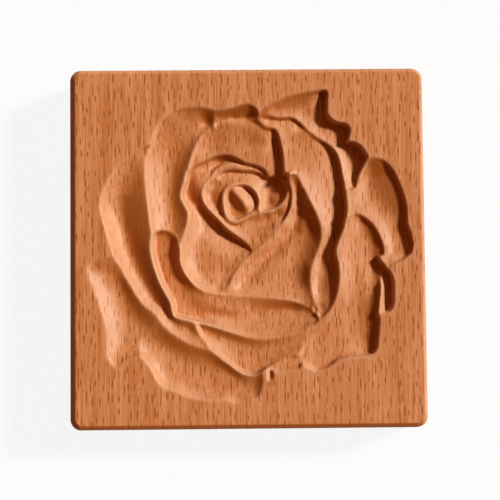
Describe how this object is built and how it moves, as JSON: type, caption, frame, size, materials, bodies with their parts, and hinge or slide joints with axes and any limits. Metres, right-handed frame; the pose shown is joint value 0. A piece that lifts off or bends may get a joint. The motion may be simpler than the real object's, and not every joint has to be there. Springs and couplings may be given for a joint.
{
  "type": "biscuit mould",
  "caption": "Flat, nearly square hand press mould of beech with a rose carved into one face, for stamping biscuit dough.",
  "frame": {"origin": "middle of the flat back, which is the bottom of the block's bounding box", "axes": "+Z out of the carved face, +Y along the grain towards the rose's top, +X to the right as the picture shows it"},
  "size_m": [0.0984, 0.1, 0.018],
  "materials": {
    "beech": "oiled beech, satin, short dark ray flecks along the grain"
  },
  "bodies": {
    "root": {"mould_block": "beech"}
  },
  "joints": []
}
